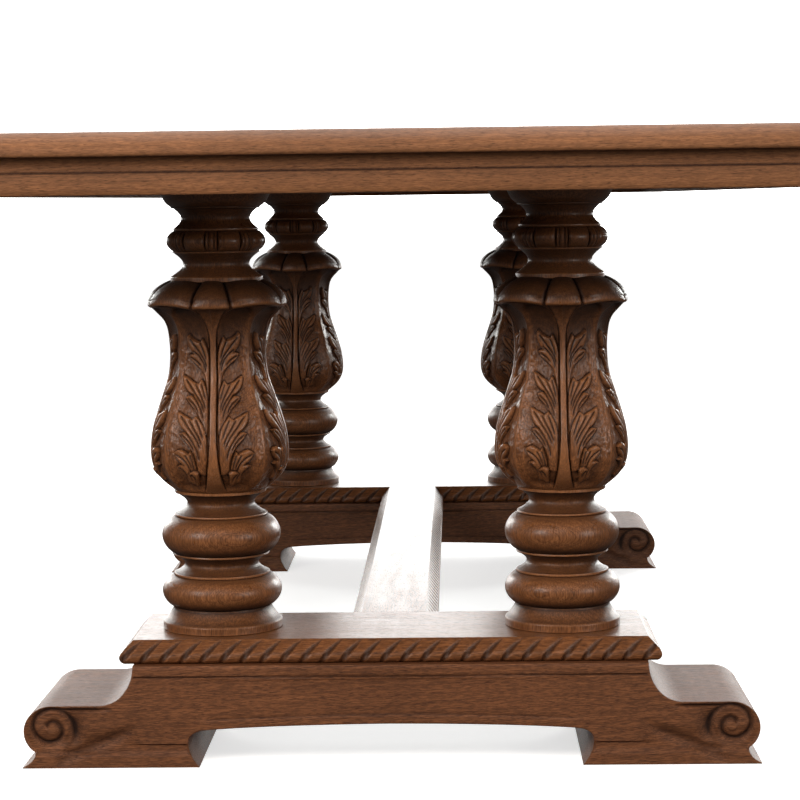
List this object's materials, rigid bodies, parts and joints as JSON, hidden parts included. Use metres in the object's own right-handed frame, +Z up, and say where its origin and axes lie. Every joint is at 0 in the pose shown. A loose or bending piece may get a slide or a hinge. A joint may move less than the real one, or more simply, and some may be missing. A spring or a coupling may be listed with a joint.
{
  "type": "communion table",
  "caption": "Long rectangular communion table with a moulded edge on two trestles of carved turned columns, rope-edged plinths and scrolled sled feet, joined by a rope-edged stretcher.",
  "frame": {"origin": "on the floor under the middle of the top", "axes": "+Y along the table's length (the picture looks along +Y), +X across it to the picture's right, +Z up"},
  "size_m": [1.04, 2.2, 0.788],
  "materials": {
    "wood": "semi-gloss lacquered brown hardwood, darker in the carving",
    "top_wood": "semi-gloss lacquered brown hardwood, a little more golden",
    "steel": "zinc-plated steel"
  },
  "bodies": {
    "root": {"bearer_front": "wood", "bearer_rear": "wood", "bearer_screw_front_1": "steel", "bearer_screw_front_2": "steel", "bearer_screw_front_3": "steel", "bearer_screw_front_4": "steel", "bearer_screw_front_5": "steel", "bearer_screw_rear_1": "steel", "bearer_screw_rear_2": "steel", "bearer_screw_rear_3": "steel", "bearer_screw_rear_4": "steel", "bearer_screw_rear_5": "steel", "column_bolt_front_left": "steel", "column_bolt_front_right": "steel", "column_bolt_rear_left": "steel", "column_bolt_rear_right": "steel", "column_front_left": "wood", "column_front_right": "wood", "column_rear_left": "wood", "column_rear_right": "wood", "column_washer_front_left": "steel", "column_washer_front_right": "steel", "column_washer_rear_left": "steel", "column_washer_rear_right": "steel", "edge_band_front": "top_wood", "edge_band_left": "top_wood", "edge_band_rear": "top_wood", "edge_band_right": "top_wood", "plinth_front": "wood", "plinth_rear": "wood", "sled_front": "wood", "sled_rear": "wood", "stretcher": "wood", "stretcher_dowel_front_left": "wood", "stretcher_dowel_front_right": "wood", "stretcher_dowel_rear_left": "wood", "stretcher_dowel_rear_right": "wood", "top_board_1": "top_wood", "top_board_2": "top_wood", "top_board_3": "top_wood", "top_board_4": "top_wood", "top_board_5": "top_wood", "top_rail_front": "top_wood", "top_rail_left": "top_wood", "top_rail_rear": "top_wood", "top_rail_right": "top_wood"}
  },
  "joints": []
}
